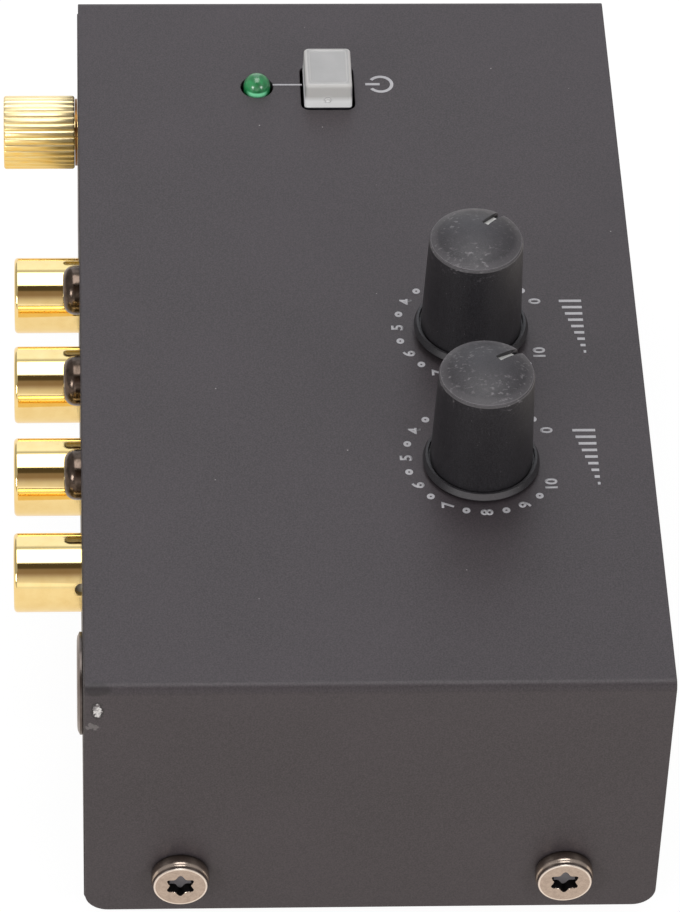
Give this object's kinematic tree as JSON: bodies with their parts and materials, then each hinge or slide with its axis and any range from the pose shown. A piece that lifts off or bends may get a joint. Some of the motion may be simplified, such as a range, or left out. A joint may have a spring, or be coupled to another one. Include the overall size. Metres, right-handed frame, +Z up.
{
  "type": "phono preamp",
  "caption": "Small phono preamp in a folded steel case: row of phono sockets, earth terminal and power inlet behind, rotary controls, power button and lamp on top.",
  "frame": {"origin": "centre of the whole object's footprint, on the plane that the feet stand on", "axes": "+X along the case towards the power button, +Y towards the sockets at the back, +Z up"},
  "size_m": [0.1098, 0.068, 0.0506],
  "materials": {
    "cover_paint": "satin powder coat",
    "chassis_paint": "satin powder coat",
    "nickel": "nickel plated",
    "dark_screw": "black nickel",
    "rubber": "moulded",
    "board": "solder resist over glass epoxy",
    "brass": "turned",
    "tin": "tinned",
    "steel": "zinc plated",
    "gilt": "gilt, polished",
    "socket_plastic": "moulded",
    "insulator": "moulded",
    "wire_green": "extruded",
    "wire_red": "extruded",
    "washer": "aged",
    "header_plastic": "moulded",
    "pot_body": "moulded",
    "track": "printed carbon",
    "shaft": "turned",
    "wiper": "moulded",
    "knob": "moulded",
    "pointer": "filled",
    "switch_body": "moulded",
    "plunger": "moulded",
    "spring": "drawn wire",
    "button": "moulded",
    "lamp": "clear tinted epoxy",
    "chip": "moulded",
    "cap_sleeve": "shrunk sleeve",
    "film": "dipped",
    "resistor": "lacquered"
  },
  "bodies": {
    "case": {"chassis": "chassis_paint", "top_cover": "cover_paint", "cover_screws": "nickel", "rubber_feet": "rubber", "circuit_board": "board", "board_standoffs": "brass", "board_screws": "steel", "standoff_screws": "steel", "rca_block": "socket_plastic", "rca_shells": "gilt", "rca_insulators": "insulator", "rca_contacts": "gilt", "rca_screws": "dark_screw", "ground_post": "gilt", "ground_lug": "tin", "ground_wire": "wire_green", "dc_jack_body": "socket_plastic", "dc_jack_nut": "nickel", "dc_jack_pin": "tin", "dc_wires": "wire_red", "wire_header": "header_plastic", "header_pins": "tin", "switch_housing": "switch_body", "switch_spring": "spring", "switch_pins": "tin", "led_lens": "lamp", "led_leads": "tin", "opamp_bodies": "chip", "opamp_pins": "tin", "electrolytic_caps": "cap_sleeve", "film_caps": "film", "capacitor_leads": "tin", "resistor_bodies": "resistor", "resistor_leads": "tin", "regulator": "chip", "regulator_leads": "tin", "volume_pot_housing": "pot_body", "volume_pot_bushing": "brass", "volume_pot_tracks": "track", "volume_pot_pins": "tin", "level_pot_housing": "pot_body", "level_pot_bushing": "brass", "level_pot_tracks": "track", "level_pot_pins": "tin"},
    "level_control": {"level_shaft": "shaft", "level_wipers": "wiper", "level_knob": "knob", "level_pointer": "pointer"},
    "volume_control": {"volume_shaft": "shaft", "volume_wipers": "wiper", "volume_knob": "knob", "volume_pointer": "pointer"},
    "power_button": {"switch_plunger": "plunger", "button_cap": "button"},
    "ground_washer": {"ground_washer": "washer"},
    "ground_nut": {"ground_nut": "gilt"}
  },
  "joints": [
    {"name": "level_turn", "type": "hinge", "parent": "case", "child": "level_control", "pos_m": [-0.00155, -0.01593, 0.036], "axis": [0, 0, 1], "range_deg": [-24.5, 275.5]},
    {"name": "volume_turn", "type": "hinge", "parent": "case", "child": "volume_control", "pos_m": [-0.02125, -0.01593, 0.036], "axis": [0, 0, 1], "range_deg": [-12, 288]},
    {"name": "power_press", "type": "slide", "parent": "case", "child": "power_button", "axis": [0, 0, -1], "range_m": [0, 0.0024], "stiffness_N_per_m": 400, "springref_m": -0.0025, "deforming": ["switch_spring"]},
    {"name": "washer_slide", "type": "slide", "parent": "case", "child": "ground_washer", "axis": [0, 1, 0], "range_m": [0, 0.0035]},
    {"name": "nut_turn", "type": "hinge", "parent": "ground_washer", "child": "ground_nut", "pos_m": [0.0441, 0.02622, 0.024], "axis": [0, 1, 0], "range_deg": [0, 1800]}
  ],
  "couplings": [
    {"joint": "nut_turn", "follows": "washer_slide", "rad_per_m": 8976}
  ]
}
